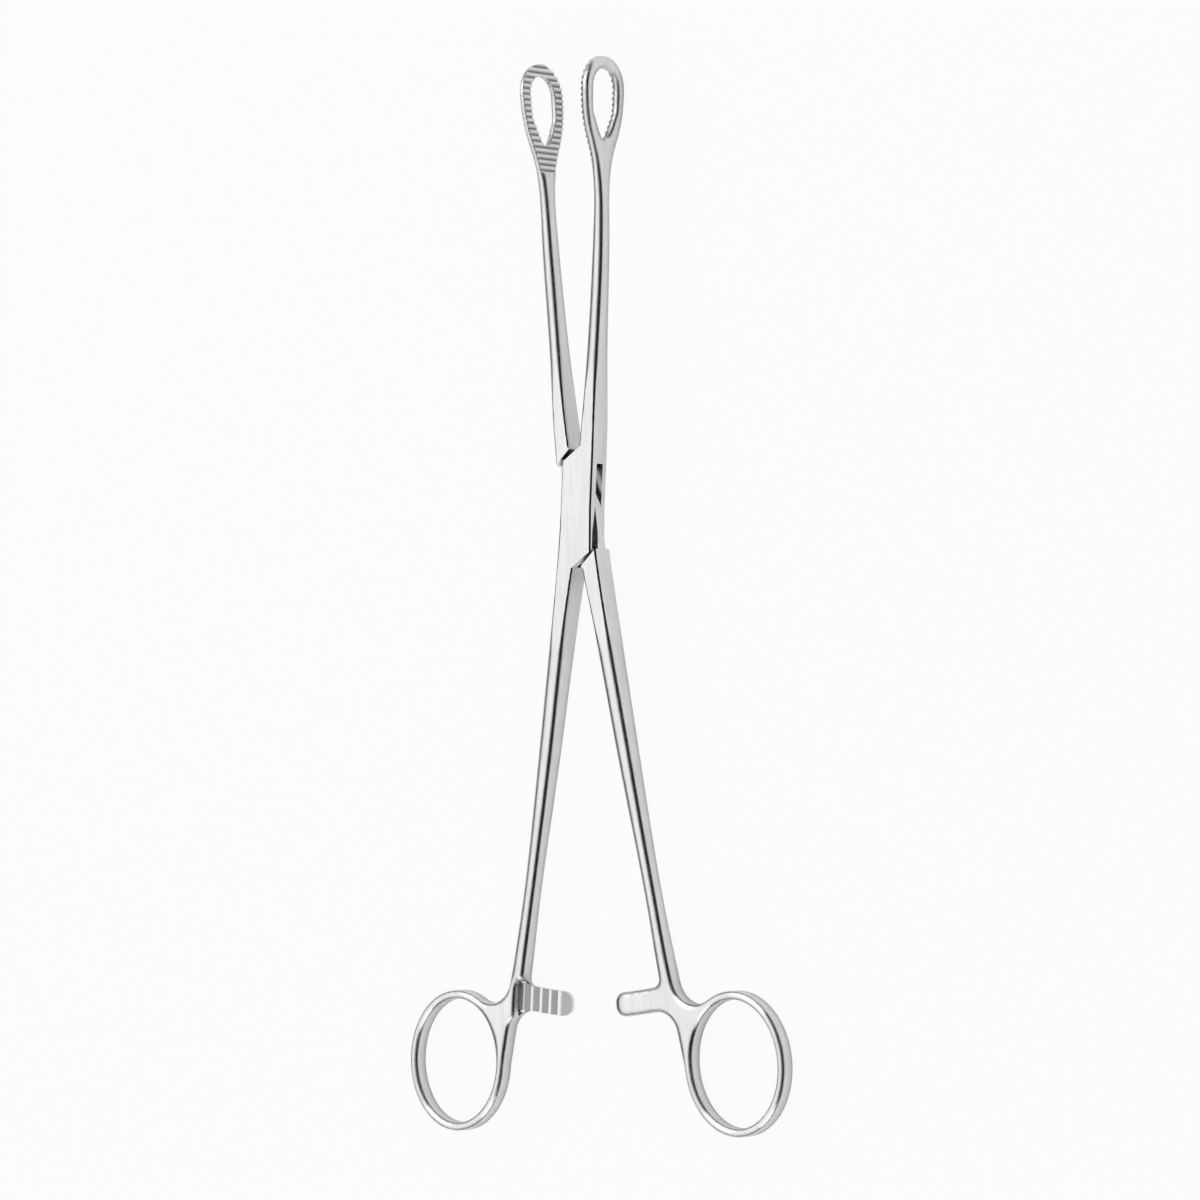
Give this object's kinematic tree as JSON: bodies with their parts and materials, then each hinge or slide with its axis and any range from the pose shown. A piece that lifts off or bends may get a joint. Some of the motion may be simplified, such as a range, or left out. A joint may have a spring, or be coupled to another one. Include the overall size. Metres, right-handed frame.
{
  "type": "sponge holding forceps",
  "caption": "Ring-handled box-lock forceps with long slim shanks, ratchet bars, and serrated ring-shaped jaws for holding sponges.",
  "frame": {"origin": "on the pivot axis, in the plane of the flat underside of the box lock", "axes": "+Z is the pivot axis and points up with the forceps lying flat, +Y points from the finger rings to the jaws, +X is the opening direction, to the right jaw of the box half"},
  "size_m": [0.1078, 0.2454, 0.0144],
  "materials": {
    "box_half_steel": "polished stainless steel, fine satin on the serrations",
    "tongue_half_steel": "polished stainless steel, fine satin on the serrations",
    "pin_steel": "ground flush and polished with the lock"
  },
  "bodies": {
    "box_half": {"box_half": "box_half_steel", "pivot_pin": "pin_steel"},
    "tongue_half": {"tongue_half": "tongue_half_steel"}
  },
  "joints": [
    {"name": "lock_pivot", "type": "hinge", "parent": "box_half", "child": "tongue_half", "pos_m": [0, 0, 0.0029], "axis": [0, 0, 1], "range_deg": [-9.6, 65]}
  ]
}
